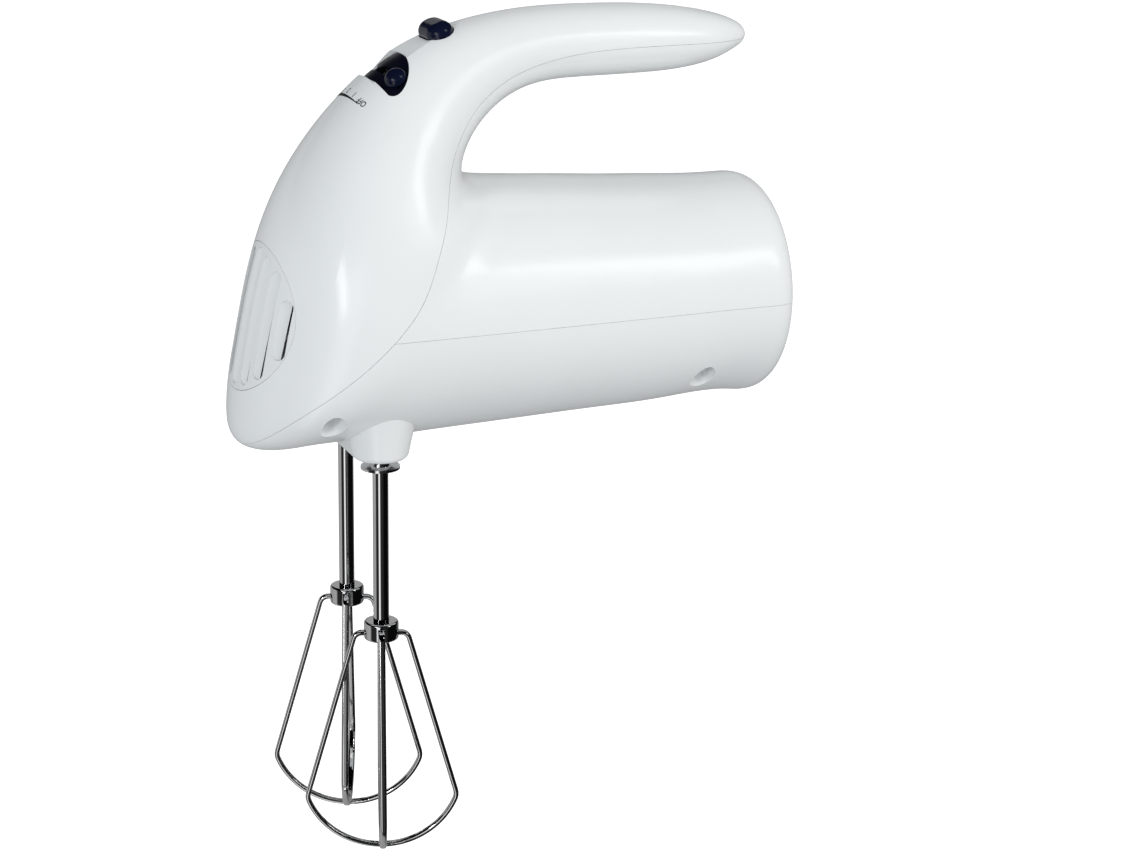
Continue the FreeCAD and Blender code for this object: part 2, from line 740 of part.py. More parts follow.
def worm_wheel(side):
    """Helical wheel beside the worm, with its hub bored for the spindle."""
    module = dim("gear_module")
    teeth = int(dim("wheel_teeth"))
    radius = module * teeth / 2
    half_face = dim("wheel_face") / 2
    lead_angle = math.atan(module * dim("worm_starts") / 2 / (dim("spindle_half") - radius))
    twist = half_face * math.tan(lead_angle) / radius
    profile = []
    for tooth in range(teeth):
        middle = 2 * math.pi * tooth / teeth
        for reach, half in ((-1.1, 0.85), (0.8, 0.38)):
            profile.append((radius + reach * module, middle, half))
    rings = []
    for level, turn in ((-half_face, -twist), (half_face, twist)):
        points = []
        for index in range(0, len(profile), 2):
            root_radius, middle, root_half = profile[index]
            tip_radius, _, tip_half = profile[index + 1]
            corners = (
                (root_radius, -root_half),
                (tip_radius, -tip_half),
                (tip_radius, tip_half),
                (root_radius, root_half),
            )
            for reach, offset in corners:
                angle = middle + offset / reach + turn
                points.append(Vector(reach * math.cos(angle), reach * math.sin(angle), level))
        rings.append(Part.Wire(Part.makePolygon(points + points[:1]).Edges))
    wheel = Part.makeLoft(rings, True, True)
    wheel = wheel.fuse(Part.makeCylinder(8.0, 8.5, Vector(0, 0, -4.5)))
    wheel = wheel.cut(Part.makeCylinder(dim("spindle_radius"), 20, Vector(0, 0, -10)))
    # At rest a gap of the wheel faces a thread of the worm.
    wheel.rotate(Vector(), Vector(0, 0, 1), -90.0 * side)
    wheel.translate(Vector(0, side * dim("spindle_half"), 0))
    return wheel


def arc_between(start, corner, end, radius):
    """Points of the round corner of two straight runs: start, middle and end."""
    before = (start - corner).normalize()
    after = (end - corner).normalize()
    half = before.getAngle(after) / 2
    setback = radius / math.tan(half)
    first = corner + before * setback
    last = corner + after * setback
    centre = corner + (before + after).normalize() * (radius / math.sin(half))
    middle = centre + (corner - centre).normalize() * radius
    return first, middle, last


def loop_half(hub_level, bottom, grow):
    """Edges of half a whisk loop in the x-z plane, from the hub to the lowest point.

    grow moves the line outwards from the middle of the strip."""
    wide = Vector(dim("whisk_radius"), 0, dim("whisk_wide_level"))
    bend = Vector(9.0, 0, hub_level)
    run = (wide - bend).normalize()
    out = Vector(-run.z, 0, run.x)
    start = Vector(4.4, 0, hub_level + grow)
    # The corner of the offset level run and the offset sloping run.
    base = bend + out * grow
    reach = (hub_level + grow - base.z) / run.z
    corner = base + run * reach
    depth = wide.z - bottom
    bowl_radius = (wide.x ** 2 + depth ** 2) / (2 * depth)
    centre = Vector(0, 0, bottom + bowl_radius)
    # A round of fixed radius joins the sloping run to the bowl.
    rounding = 5.0
    anchor = bend - out * rounding
    offset = anchor - centre
    along = offset.dot(run)
    gap = offset.dot(offset) - (bowl_radius - rounding) ** 2
    distance = -along + math.sqrt(along ** 2 - gap)
    pivot = anchor + run * distance
    leave = pivot + out * (rounding + grow)
    join_direction = (pivot - centre).normalize()
    join = pivot + join_direction * (rounding + grow)
    half_way = (out + join_direction).normalize()
    mid_round = pivot + half_way * (rounding + grow)
    low = Vector(0, 0, bottom - grow)
    mid_bowl_direction = (join_direction + Vector(0, 0, -1)).normalize()
    mid_bowl = centre + mid_bowl_direction * (bowl_radius + grow)
    first, middle, last = arc_between(start, corner, leave, 3.0 + grow)
    return [
        Part.LineSegment(start, first).toShape(),
        Part.Arc(first, middle, last).toShape(),
        Part.LineSegment(last, leave).toShape(),
        Part.Arc(leave, mid_round, join).toShape(),
        Part.Arc(join, mid_bowl, low).toShape(),
    ], start


def whisk_loop(hub_level, bottom, angle):
    """One bent strip of a whisk, centred on the beater's axis."""
    half = dim("strip_thickness") / 2
    outside, outer_start = loop_half(hub_level, bottom, half)
    inside, inner_start = loop_half(hub_level, bottom, -half)
    edges = outside + inside
    edges.append(Part.LineSegment(outer_start, inner_start).toShape())
    edges += [edge.mirror(Vector(), Vector(1, 0, 0)) for edge in edges]
    wire = Part.Wire(Part.__sortEdges__(edges))
    width = dim("strip_width")
    strip = Part.Face(wire).extrude(Vector(0, width, 0))
    strip.translate(Vector(0, -width / 2, 0))
    sides = [edge for edge in strip.Edges if abs(abs(edge.CenterOfMass.y) - width / 2) < 0.001]
    strip = strip.makeFillet(dim("strip_edge"), [edge for edge in sides if edge.Length > 2])
    strip.rotate(Vector(), Vector(0, 0, 1), angle)
    return strip


# ---------------------------------------------------------------- housing


def make_housing():
    hood, upper, lower, grille = shells()
    feature(hood, "hood_shell")
    feature(upper, "neck_shell")
    feature(lower, "base_shell")
    feature(grille, "vent_grille")
    feature(selector_bezel(), "selector_bezel")


def screw(x, y, seat, head_radius, length, up):
    """Pan head and shank; up is 1 when the point is up and -1 when it is down."""
    head_height = 2.2
    low = seat - head_height if up > 0 else seat
    head = cylinder(head_radius, head_height, (x, y, low))
    slot_low = seat - head_height - 1 if up > 0 else seat + head_height - 1
    slots = [
        box((x - 1.9, y - 0.4, slot_low), (x + 1.9, y + 0.4, slot_low + 2.0)),
        box((x - 0.4, y - 1.9, slot_low), (x + 0.4, y + 1.9, slot_low + 2.0)),
    ]
    start = seat - 0.5 if up > 0 else seat - length
    shank = cylinder(1.45, length + 0.5, (x, y, start))
    return cut(fuse(head, shank), *slots)


def make_screws():
    shell_screws = []
    for end, x, y, ceiling, meet in wells():
        shell_screws.append(screw(x, y, ceiling, 3.4, meet - ceiling + 10, 1))
    finish(group(*shell_screws), "shell_screws")
    gear_screws = [screw(x, y, top + 3.0, 3.0, 13, -1) for x, y, _, top in GEAR_POSTS]
    finish(group(*gear_screws), "gear_frame_screws")
    clamp_screws = [screw(x, y, top + 4.0, 3.0, 14, -1) for x, y, _, top in CLAMP_POSTS]
    finish(group(*clamp_screws), "cord_clamp_screws")


def make_cord_entry():
    bore = "Dims.gland_bore"
    points = [
        (bore, 0),
        (6.2, 0),
        (6.2, 7.0),
        (9.0, 7.0),
        (9.0, 9.6),
        (6.2, 9.6),
        (6.2, "Dims.gland_length"),
        (bore, "Dims.gland_length"),
    ]
    turned(points, "cord_gland", (134.4, 0, 0), Rotation(Vector(0, 1, 0), 90))
    bar = box((127, -13, -22), (133, 13, -18))
    holes = [cylinder(1.6, 10, (x, y, -25)) for x, y, _, _ in CLAMP_POSTS]
    groove = cylinder(3.6, 10, (125, 0, -15.5), "x")
    finish(cut(bar, groove, *holes), "cord_clamp")


# ---------------------------------------------------------------- drive


def make_gear_frame():
    plate = box((-19, -26.4, -12), (24, 26.4, -9))
    bosses = []
    bores = []
    for side, _ in SIDES:
        y = f"{side} * Dims.spindle_half"
        bosses.append(cylinder(7.4, 11, (0, y, -20)))
        bores.append(cylinder("Dims.spindle_radius + 0.05", 20, (0, y, -25)))
    uprights = [box((-19, -7, -10), (-15, 7, 8)), box((20, -7, -10), (24, 7, 8))]
    seat = cylinder(5.0, 60, (-25, 0, 0), "x")
    holes = [cylinder(1.6, 8, (x, y, top - 1)) for x, y, _, top in GEAR_POSTS]
    frame = cut(fuse(plate, *bosses, *uprights), seat, *bores, *holes)
    finish(frame, "gear_frame")


def bush(label, front, outside):
    """A plain bearing on the motor axis, four or five millimetres long."""
    inside = dim("shaft_radius") + 0.04
    points = [(inside, 0), (outside, 0), (outside, 4.0), (inside, 4.0)]
    turned(points, label, (front, 0, 0), Rotation(Vector(0, 1, 0), 90))


def make_bearings():
    bush("bearing_nose", -19.0, 5.0)
    bush("bearing_middle", 20.0, 5.0)
    bush("bearing_motor_front", 49.5, 7.0)
    bush("bearing_motor_rear", 117.5, 7.0)


def motor_bracket(label, plate_front, half_bar, legs):
    """A cross bar with a bearing seat and legs that stand on the stack.

    Each leg is a pair of blocks: its ends along x and its nearest and farthest y."""
    bar = box((plate_front, -half_bar, -7), (plate_front + 3, half_bar, 7))
    blocks = []
    for start, end, near, far in legs:
        blocks.append(box((start, near, -7), (end, far, 7)))
        blocks.append(box((start, -far, -7), (end, -near, 7)))
    boss = cylinder(9.5, 4.0, (plate_front - 0.5, 0, 0), "x")
    seat = cylinder(7.0, 12, (plate_front - 4, 0, 0), "x")
    finish(cut(fuse(bar, boss, *blocks), seat), label)


def make_stator():
    front = "Dims.stack_front"
    rear = "Dims.stack_front + Dims.stack_length"
    wide = "Dims.stack_half_width"
    tall = "Dims.stack_half_height"
    core = box((front, f"-{wide}", f"-{tall}"), (rear, wide, tall))
    tools = [cylinder("Dims.stator_bore", 60, (45, 0, 0), "x")]
    for low, high in ((-21, -10.3), (10.3, 21)):
        tools.append(box((45, low, 8), (100, high, 21)))
        tools.append(box((45, low, -21), (100, high, -8)))
    for y in (-24.0, 24.0):
        for z in (-21.0, 21.0):
            tools.append(cylinder(1.6, 60, (45, y, z), "x"))
    finish(cut(core, *tools), "stator_core")
    for label, low, high in (("field_coil_top", 13.8, 20.4), ("field_coil_bottom", -20.4, -13.8)):
        outside = box((f"{front} - 6", -20, low), (f"{rear} + 6", 20, high))
        hole = box((f"{front} - 0.5", -10.7, low - 1), (f"{rear} + 0.5", 10.7, high + 1))
        bore = cylinder(14.95, 80, (40, 0, 0), "x")
        finish(cut(outside, hole, bore), label)


def make_armature():
    length = "Dims.shaft_rear - Dims.shaft_front"
    finish(cylinder("Dims.shaft_radius", length, ("Dims.shaft_front", 0, 0), "x"), "motor_shaft")
    feature(worm(), "worm")
    front = dim("stack_front")
    length = dim("stack_length")
    radius = dim("rotor_radius")
    slots = []
    bars = []
    for index in range(12):
        slot = block((0, -1.3, 7.0), (length, 1.3, radius - 1.2))
        mouth = block((0, -0.6, radius - 1.3), (length, 0.6, radius + 1))
        bar = block((-1, -1.3, 7.0), (length + 1, 1.3, radius - 1.2))
        for piece in (slot, mouth, bar):
            piece.rotate(Vector(), Vector(1, 0, 0), 30.0 * index)
        slots += [slot, mouth]
        bars.append(bar)
    core = Part.makeCylinder(radius, length, Vector(), Vector(1, 0, 0))
    shaft_hole = Part.makeCylinder(dim("shaft_radius"), 60, Vector(-20, 0, 0), Vector(1, 0, 0))
    core = core.cut(Part.makeCompound(slots)).cut(shaft_hole)
    core.translate(Vector(front, 0, 0))
    feature(core, "armature_core")
    windings = []
    for start in (-5.0, length):
        ring = Part.makeCylinder(13.0, 5.0, Vector(start, 0, 0), Vector(1, 0, 0))
        ring = ring.cut(Part.makeCylinder(6.0, 9.0, Vector(start - 2, 0, 0), Vector(1, 0, 0)))
        outer_edges = [edge for edge in ring.Edges if edge.BoundBox.YLength > 25]
        rim = max(outer_edges, key=lambda edge: abs(edge.CenterOfMass.x - length / 2))
        windings.append(ring.makeFillet(2.0, [rim]))
    coil = windings[0].fuse([windings[1]] + bars)
    coil.translate(Vector(front, 0, 0))
    feature(coil, "armature_windings")
    make_commutator()
    make_fan()


def make_commutator():
    front = dim("commutator_front")
    drum = Part.makeCylinder(dim("commutator_radius"), 13, Vector(front, 0, 0), Vector(1, 0, 0))
    drum = drum.fuse(Part.makeCylinder(12.0, 2, Vector(front, 0, 0), Vector(1, 0, 0)))
    drum = drum.cut(Part.makeCylinder(dim("shaft_radius"), 20, Vector(front - 3, 0, 0), Vector(1, 0, 0)))
    grooves = []
    for index in range(24):
        groove = block((front + 2.2, -0.2, 9.7), (front + 14, 0.2, 13))
        groove.rotate(Vector(), Vector(1, 0, 0), 15.0 * index)
        grooves.append(groove)
    feature(drum.cut(Part.makeCompound(grooves)), "commutator")


def make_fan():
    front = dim("fan_front")
    radius = dim("fan_radius")
    disc = Part.makeCylinder(radius, 1.5, Vector(front, 0, 0), Vector(1, 0, 0))
    hub = Part.makeCylinder(6.5, 12, Vector(front, 0, 0), Vector(1, 0, 0))
    blades = []
    for index in range(11):
        blade = block((front + 1, -0.7, 9.0), (front + 11, 0.7, radius - 0.5))
        blade.rotate(Vector(), Vector(1, 0, 0), 360.0 * index / 11)
        blades.append(blade)
    fan = disc.fuse([hub] + blades)
    fan = fan.cut(Part.makeCylinder(dim("shaft_radius"), 20, Vector(front - 2, 0, 0), Vector(1, 0, 0)))
    feature(fan, "cooling_fan")


def make_brush_gear():
    for side, name in SIDES:
        low, high = sorted((side * 11.2, side * 21.85))
        holder = box((98.5, low, -5.5), (108.5, high, 5.5))
        channel = box((101, -30, -3), (106, 30, 3))
        finish(cut(holder, channel), f"brush_holder_{name}")
        low, high = sorted((side * 10.56, side * 17.5))
        finish(box((101.1, low, -2.9), (105.9, high, 2.9)), f"carbon_brush_{name}")
        coil = coil_spring(1.9, 0.25, 1.2, 4.3, (0, 0, 0))
        coil.rotate(Vector(), Vector(1, 0, 0), -90.0 * side)
        coil.translate(Vector(103.5, side * 17.53, 0))
        feature(coil, f"brush_spring_{name}")


def make_spindles():
    for side, name in SIDES:
        feature(worm_wheel(side), f"worm_wheel_{name}")
        y = side * dim("spindle_half")
        low = dim("spindle_bottom")
        top = dim("spindle_top")
        sleeve = rod(0, y, low, top, dim("spindle_radius"))
        sleeve = sleeve.cut(rod(0, y, low - 1, top + 1, dim("spindle_bore")))
        for size in ((4.1, 1.0), (1.0, 4.1)):
            slot = block((-size[0], y - size[1], low - 1), (size[0], y + size[1], -6.0))
            sleeve = sleeve.cut(slot)
        feature(sleeve, f"spindle_sleeve_{name}")
        points = [
            (0, "Dims.shank_top + 0.1"),
            (2.45, "Dims.shank_top + 0.1"),
            (2.45, 15.4),
            (3.6, 15.4),
            (3.6, 17.2),
            (0, 17.2),
        ]
        turned(points, f"ejector_pin_{name}", (0, y, 0))


# ---------------------------------------------------------------- controls


def make_controls():
    feature(selector_slider(), "speed_selector")
    housing = block((-8, -11, -33), (4.2, 11, -18))
    pin = Part.makeCylinder(1.6, 6.6, Vector(4.0, 0, -dim("selector_axis")), Vector(1, 0, 0))
    tabs = [block((u, y, -38), (u + 0.8, y + 4.8, -32)) for u in (-6, 1) for y in (-8, 3.2)]
    switch = housing.fuse([pin] + tabs)
    feature(placed(switch, PANEL), "speed_switch")
    feature(eject_button(), "eject_button")
    feature(eject_rod(), "eject_rod")
    feature(coil_spring(5.6, 0.5, 2.0, 9.4, (27.4, 0, 72.05)), "eject_spring")
    board = box((94, -14, 26), (126, 14, 27.6))
    finish(board, "control_board")
    block_part = box((103, -7, 18), (116, 7, 25.9))
    finish(block_part, "suppressor_capacitor")


# ---------------------------------------------------------------- beaters


def make_beaters():
    for side, name in SIDES:
        y = side * dim("spindle_half")
        make_shank(name, y)
        make_hub(name, y)
        for loop, drop, level in (("upper", 2.2, 1.25), ("lower", 0.0, -1.25)):
            angle = dim(f"whisk_phase_{name}") + (0 if loop == "upper" else 90)
            hub_level = dim("hub_level") + level
            strip = whisk_loop(hub_level, dim("whisk_bottom") + drop, angle)
            strip.translate(Vector(0, y, 0))
            feature(strip, f"whisk_{loop}_{name}")
    inside = "Dims.shank_radius"
    points = [
        (inside, "Dims.collar_level"),
        ("Dims.collar_radius", "Dims.collar_level"),
        ("Dims.collar_radius", "Dims.collar_level + 0.9"),
        (3.6, "Dims.collar_level + 1.2"),
        (3.6, "Dims.collar_level + 3.0"),
        (inside, "Dims.collar_level + 3.0"),
    ]
    turned(points, "beater_collar_left", (0, -dim("spindle_half"), 0))


def make_shank(name, y):
    """Shank with a pointed top, a detent groove and two driving lugs."""
    radius = dim("shank_radius")
    top = dim("shank_top")
    low = dim("hub_level")
    shank = rod(0, y, low, top - 1.6, radius)
    shank = shank.fuse(Part.makeCone(radius, 1.3, 1.6, Vector(0, y, top - 1.6)))
    groove = rod(0, y, 1.0, 2.4, radius + 1).cut(rod(0, y, 0, 4, radius - 0.5))
    shank = shank.cut(groove)
    for along, across in ((3.9, 0.75), (0.75, 3.9)):
        shank = shank.fuse(block((-along, y - across, -14), (along, y + across, -8)))
    feature(shank, f"beater_shank_{name}")


def make_hub(name, y):
    """Hub with rounded ends and the staked wire end beside it."""
    radius = dim("hub_radius")
    height = dim("hub_height")
    low = dim("hub_level") - height / 2
    hub = rod(0, y, low, low + height, radius)
    hub = hub.makeFillet(0.9, [edge for edge in hub.Edges if edge.BoundBox.ZLength < 0.01])
    hub = hub.cut(rod(0, y, dim("hub_level"), low + height + 1, dim("shank_radius")))
    feature(hub, f"beater_hub_{name}")


make_housing()
make_screws()
make_cord_entry()
make_gear_frame()
make_bearings()
motor_bracket("motor_bracket_front", 50.0, 27.0, ((53.0, 60.0, 21.9, 27.0),))
rear_legs = ((86.0, 110.5, 21.9, 24.2), (108.7, 110.5, 14.0, 24.2), (108.7, 118.0, 14.0, 19.0))
motor_bracket("motor_bracket_rear", 118.0, 19.0, rear_legs)
make_stator()
make_armature()
make_brush_gear()
make_spindles()
make_controls()
make_beaters()
doc.recompute()


def check_document():
    for thing in doc.Objects:
        bad = [state for state in thing.State if state in ("Invalid", "Error")]
        if bad:
            raise RuntimeError(f"{thing.Name} ({thing.Label}) is {bad}")
    labels = [node.Label for node in NODES]
    if len(set(labels)) != len(labels):
        raise RuntimeError("two pieces share a label")
    for node in NODES:
        if node.Shape.isNull() or not node.Shape.isValid() or not node.Shape.Solids:
            raise RuntimeError(f"{node.Label} has no valid solid")


check_document()
os.makedirs("parts", exist_ok=True)
for node in NODES:
    node.Shape.exportStep(f"parts/{node.Label}.step")
    solid_count = len(node.Shape.Solids)
    print(f"{node.Label}: {solid_count} solid(s), {node.Shape.Volume / 1000:.2f} cm3")
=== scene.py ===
import json
import math

import bmesh
import bpy
from mathutils import Euler, Matrix, Vector
from mathutils.bvhtree import BVHTree


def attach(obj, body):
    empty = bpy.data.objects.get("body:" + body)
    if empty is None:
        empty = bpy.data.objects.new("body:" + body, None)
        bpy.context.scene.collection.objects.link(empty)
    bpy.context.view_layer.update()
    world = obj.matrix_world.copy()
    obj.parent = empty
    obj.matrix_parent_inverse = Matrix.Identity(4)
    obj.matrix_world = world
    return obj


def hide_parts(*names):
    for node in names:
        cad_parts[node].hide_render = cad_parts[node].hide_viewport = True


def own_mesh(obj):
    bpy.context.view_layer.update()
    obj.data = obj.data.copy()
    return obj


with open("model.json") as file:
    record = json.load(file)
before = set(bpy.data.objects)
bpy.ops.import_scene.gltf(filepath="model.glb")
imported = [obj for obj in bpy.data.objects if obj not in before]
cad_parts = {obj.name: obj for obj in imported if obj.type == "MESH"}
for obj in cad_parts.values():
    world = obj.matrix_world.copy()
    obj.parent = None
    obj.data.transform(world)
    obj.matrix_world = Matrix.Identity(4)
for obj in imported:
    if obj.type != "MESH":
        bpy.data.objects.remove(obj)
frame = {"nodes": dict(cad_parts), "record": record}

# Hand mixer.  The frame is the row's, in metres: the origin is the middle of the
# grip, +X is the rear of the barrel, +Z is up and the whisks point down.

scene = bpy.context.scene
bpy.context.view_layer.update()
nodes = frame["nodes"]

MM = 0.001
GRIP = Vector((88.0, 0.0, 88.6))  # the grip's middle in the frame of the CAD source


def row(x, y, z):
    """A point of the CAD source's working frame, in the row frame."""
    return (Vector((x, y, z)) - GRIP) * MM


# ------------------------------------------------------------------ materials


def new_material(name):
    material = bpy.data.materials.new(name)
    material.use_nodes = True
    tree = material.node_tree
    shader = tree.nodes["Principled BSDF"]
    return material, tree, shader


def coordinates(tree, scale):
    """Object coordinates through a mapping."""
    place = tree.nodes.new("ShaderNodeTexCoord")
    mapping = tree.nodes.new("ShaderNodeMapping")
    mapping.inputs["Scale"].default_value = scale
    tree.links.new(place.outputs["Object"], mapping.inputs["Vector"])
    return mapping.outputs["Vector"]


def noise(tree, scale, detail, stretch=(1, 1, 1)):
    texture = tree.nodes.new("ShaderNodeTexNoise")
    texture.inputs["Scale"].default_value = scale
    texture.inputs["Detail"].default_value = detail
    tree.links.new(coordinates(tree, stretch), texture.inputs["Vector"])
    return texture.outputs["Fac"]


def spread(tree, value, low, high):
    """Map a noise value round its middle to a range."""
    remap = tree.nodes.new("ShaderNodeMapRange")
    remap.inputs["From Min"].default_value = 0.3
    remap.inputs["From Max"].default_value = 0.7
    remap.inputs["To Min"].default_value = low
    remap.inputs["To Max"].default_value = high
    tree.links.new(value, remap.inputs["Value"])
    return remap.outputs["Result"]


def bump(tree, shader, value, distance):
    node = tree.nodes.new("ShaderNodeBump")
    node.inputs["Distance"].default_value = distance
    node.inputs["Strength"].default_value = 1.0
    tree.links.new(value, node.inputs["Height"])
    tree.links.new(node.outputs["Normal"], shader.inputs["Normal"])


def two_tone(tree, shader, value, first, second):
    ramp = tree.nodes.new("ShaderNodeValToRGB")
    ramp.color_ramp.elements[0].position = 0.35
    ramp.color_ramp.elements[1].position = 0.65
    ramp.color_ramp.elements[0].color = (*first, 1)
    ramp.color_ramp.elements[1].color = (*second, 1)
    tree.links.new(value, ramp.inputs["Fac"])
    tree.links.new(ramp.outputs["Color"], shader.inputs["Base Color"])


def moulding(name, first, second, roughness, coat=0.0, grain=0.0):
    """Injection-moulded plastic: faint mottle, slightly uneven gloss."""
    material, tree, shader = new_material(name)
    two_tone(tree, shader, noise(tree, 18.0, 2.0), first, second)
    gloss = spread(tree, noise(tree, 60.0, 3.0), roughness * 0.9, roughness * 1.12)
    tree.links.new(gloss, shader.inputs["Roughness"])
    shader.inputs["IOR"].default_value = 1.5
    shader.inputs["Coat Weight"].default_value = coat
    shader.inputs["Coat Roughness"].default_value = 0.08
    if grain:
        bump(tree, shader, noise(tree, 900.0, 2.0), grain)
    return material


def metal(name, first, second, roughness, stretch=(1, 1, 1), scratch=0.0):
    material, tree, shader = new_material(name)
    shader.inputs["Metallic"].default_value = 1.0
    two_tone(tree, shader, noise(tree, 40.0, 3.0), first, second)
    fine = noise(tree, 500.0, 4.0, stretch)
    tree.links.new(spread(tree, fine, roughness * 0.7, roughness * 1.35), shader.inputs["Roughness"])
    if scratch:
        bump(tree, shader, fine, scratch)
    return material


WHITE = moulding("white_gloss", (0.80, 0.815, 0.81), (0.82, 0.835, 0.83), 0.17, 0.0)
GRILLE = moulding("white_grille", (0.78, 0.795, 0.79), (0.81, 0.825, 0.82), 0.33, 0.25)
NAVY = moulding("navy_gloss", (0.003, 0.005, 0.020), (0.005, 0.008, 0.030), 0.20, 0.0)
LINER = moulding("navy_liner", (0.003, 0.004, 0.012), (0.005, 0.007, 0.018), 0.30, 0.0)
BLACK = moulding("black_plastic", (0.012, 0.012, 0.013), (0.02, 0.02, 0.022), 0.45, 0.0, 0.00001)
NYLON = moulding("nylon", (0.72, 0.69, 0.60), (0.78, 0.75, 0.67), 0.4, 0.1)
RUBBER = moulding("soft_rubber", (0.55, 0.56, 0.56), (0.60, 0.61, 0.61), 0.6, 0.0, 0.00002)
BOARD = moulding("phenolic_board", (0.30, 0.16, 0.05), (0.38, 0.21, 0.07), 0.5)
CARBON = moulding("carbon", (0.012, 0.012, 0.012), (0.03, 0.03, 0.03), 0.55, 0.0, 0.00003)
PRINT = moulding("pad_print", (0.010, 0.011, 0.014), (0.016, 0.018, 0.022), 0.45)
CHROME = metal("chrome_wire", (0.80, 0.80, 0.81), (0.86, 0.86, 0.87), 0.07, (1, 1, 0.06), 0.000002)
STEEL = metal("steel", (0.50, 0.50, 0.51), (0.60, 0.60, 0.61), 0.28)
ZINC = metal("zinc_screw", (0.55, 0.56, 0.58), (0.66, 0.67, 0.68), 0.32)
LAMINATION = metal("lamination", (0.22, 0.225, 0.24), (0.33, 0.335, 0.35), 0.42, (6, 0.2, 0.2), 0.00004)
COPPER = metal("enamelled_copper", (0.42, 0.14, 0.05), (0.56, 0.21, 0.08), 0.26, (0.2, 4, 4), 0.00006)
BARS = metal("copper_bars", (0.62, 0.30, 0.17), (0.72, 0.38, 0.22), 0.30)
BRONZE = metal("sintered_bronze", (0.50, 0.36, 0.17), (0.60, 0.44, 0.22), 0.45, (1, 1, 1), 0.00003)

LOOKS = {
    "white_gloss": WHITE,
    "navy_gloss": NAVY,
    "steel": STEEL,
    "lamination": LAMINATION,
    "enamelled_copper": COPPER,
    "copper_bars": BARS,
    "bronze": BRONZE,
    "carbon": CARBON,
    "black_plastic": BLACK,
    "nylon": NYLON,
    "soft_rubber": RUBBER,
    "board": BOARD,
    "chrome_wire": CHROME,
}
SPECIAL = {
    "vent_grille": GRILLE,
    "selector_bezel": LINER,
    "shell_screws": ZINC,
    "gear_frame_screws": ZINC,
    "cord_clamp_screws": ZINC,
}

for subpart in frame["record"]["subparts"]:
    name = subpart["node"]
    data = nodes[name].data
    data.materials.clear()
    data.materials.append(SPECIAL.get(name) or LOOKS[subpart["material_slot"]])


# A copy of the spring under the button, with a mesh of its own, goes with the housing.
closing_spring = bpy.data.objects.new("eject_spring_coil", nodes["eject_spring"].data.copy())
closing_spring.matrix_world = nodes["eject_spring"].matrix_world
scene.collection.objects.link(closing_spring)
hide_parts("eject_spring")
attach(closing_spring, "housing")
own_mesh(closing_spring)


# ------------------------------------------------------------------ printing

SEARCH = 0.03  # from how far outside a print is dropped on to the shell
LIFT = 0.00004  # how far a print stands off the shell
PRINT_EDGE = 0.0007  # longest edge of a print's mesh


def bvh_of(name):
    """A search tree over one shell, in the row frame."""
    mesh = bmesh.new()
    mesh.from_mesh(nodes[name].data)
    tree = BVHTree.FromBMesh(mesh)
    mesh.free()
    return tree


def print_on(piece, tree, across, up, origin):
    """Lay a flat figure on a shell: its x runs along across, its y along up.

    The figure is dropped on to the shell along the normal of its own plane."""
    normal = across.cross(up).normalized()
    for vertex in piece.data.vertices:
        start = origin + across * vertex.co.x + up * vertex.co.y
        hit, face_normal, _, _ = tree.ray_cast(start + normal * SEARCH, -normal)
        if hit is None:
            raise RuntimeError(f"{piece.name} runs off the shell")
        vertex.co = hit + face_normal * LIFT


def fine_mesh(piece, length):
    """Split long edges, so that the figure can follow a curved shell."""
    mesh = bmesh.new()
    mesh.from_mesh(piece.data)
    for _ in range(6):
        long_edges = [edge for edge in mesh.edges if edge.calc_length() > length]
        if not long_edges:
            break
        bmesh.ops.subdivide_edges(mesh, edges=long_edges, cuts=1)
        bmesh.ops.triangulate(mesh, faces=[f for f in mesh.faces if len(f.verts) > 3])
    mesh.to_mesh(piece.data)
    mesh.free()


def flat_text(name, words, height):
    """Words as a flat mesh, with capitals of the given height."""
    curve = bpy.data.curves.new(name, "FONT")
    curve.body = words
    curve.size = height / 0.72
    curve.align_x = "CENTER"
    curve.align_y = "CENTER"
    curve.resolution_u = 4
    curve.offset = height * 0.018
    holder = bpy.data.objects.new(name + "_text", curve)
    scene.collection.objects.link(holder)
    bpy.context.view_layer.update()
    mesh = bpy.data.meshes.new_from_object(holder)
    bpy.data.objects.remove(holder)
    piece = bpy.data.objects.new(name, mesh)
    scene.collection.objects.link(piece)
    return piece


def flat_figure(name, points):
    """A flat piece with the given outline."""
    mesh = bpy.data.meshes.new(name)
    mesh.from_pydata([(x, y, 0) for x, y in points], [], [tuple(range(len(points)))])
    piece = bpy.data.objects.new(name, mesh)
    scene.collection.objects.link(piece)
    return piece


hood = bvh_of("hood_shell")

# The selector turns about an axis under the crown, square to the control panel.
PANEL_TILT = math.radians(30.2)
PANEL_FOOT = row(2.1, 0, 79.0)
SELECTOR_UP_PANEL = 6.4 * MM
SELECTOR_DEPTH = 25.8 * MM
CROWN_RADIUS = 28.0 * MM
LETTER_HEIGHT = 2.1 * MM
PANEL_UP = Vector((math.cos(PANEL_TILT), 0, math.sin(PANEL_TILT)))
PANEL_OUT = Vector((-math.sin(PANEL_TILT), 0, math.cos(PANEL_TILT)))
AXIS_FOOT = PANEL_FOOT + PANEL_UP * SELECTOR_UP_PANEL - PANEL_OUT * SELECTOR_DEPTH


